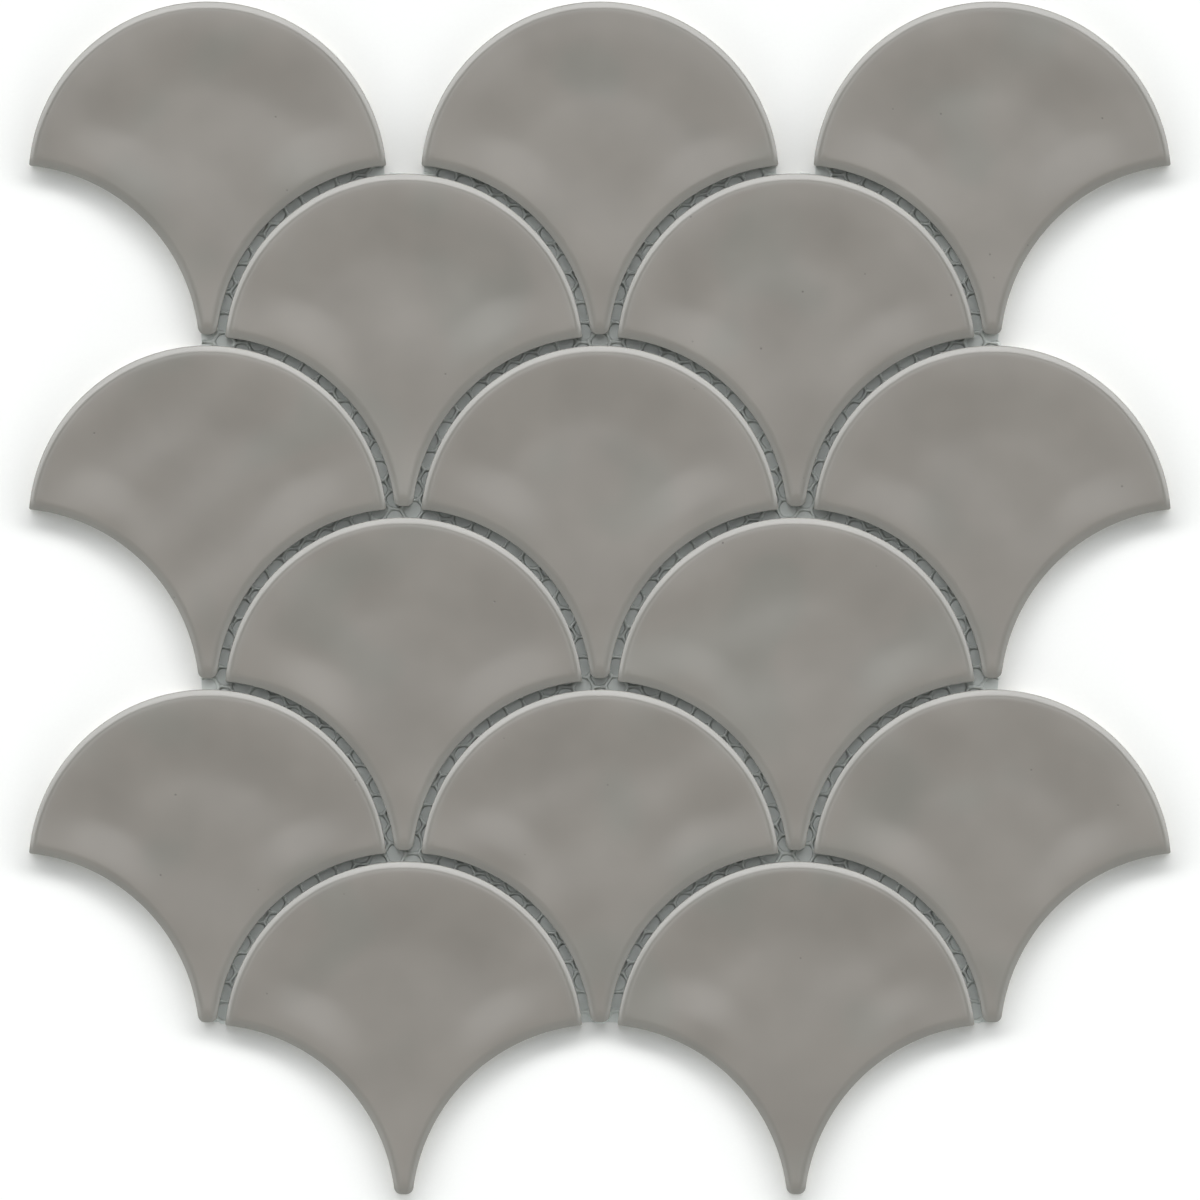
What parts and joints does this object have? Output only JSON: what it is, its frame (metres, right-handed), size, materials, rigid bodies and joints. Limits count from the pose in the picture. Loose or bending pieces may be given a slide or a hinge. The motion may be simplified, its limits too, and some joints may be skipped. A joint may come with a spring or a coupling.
{
  "type": "fish scale mosaic tile sheet",
  "caption": "Net-backed mosaic sheet of grey glazed fish scale tiles in staggered interlocking rows, for setting on a wall or floor and grouting.",
  "frame": {"origin": "under the middle of the sheet's box, on the plane that the net lies on", "axes": "+Z out of the glazed faces, +Y along the sheet towards the crowns, +X across the rows to the right"},
  "size_m": [0.255, 0.2662, 0.0064],
  "materials": {
    "grey_glaze": "warm grey gloss glaze over a pale pressed body",
    "net": "white open-mesh polyester net stiffened with clear glue"
  },
  "bodies": {
    "root": {"tile_row1_left": "grey_glaze", "tile_row1_middle": "grey_glaze", "tile_row1_right": "grey_glaze", "tile_row2_left": "grey_glaze", "tile_row2_right": "grey_glaze", "tile_row3_left": "grey_glaze", "tile_row3_middle": "grey_glaze", "tile_row3_right": "grey_glaze", "tile_row4_left": "grey_glaze", "tile_row4_right": "grey_glaze", "tile_row5_left": "grey_glaze", "tile_row5_middle": "grey_glaze", "tile_row5_right": "grey_glaze", "tile_row6_left": "grey_glaze", "tile_row6_right": "grey_glaze", "mesh_backing": "net"}
  },
  "joints": []
}
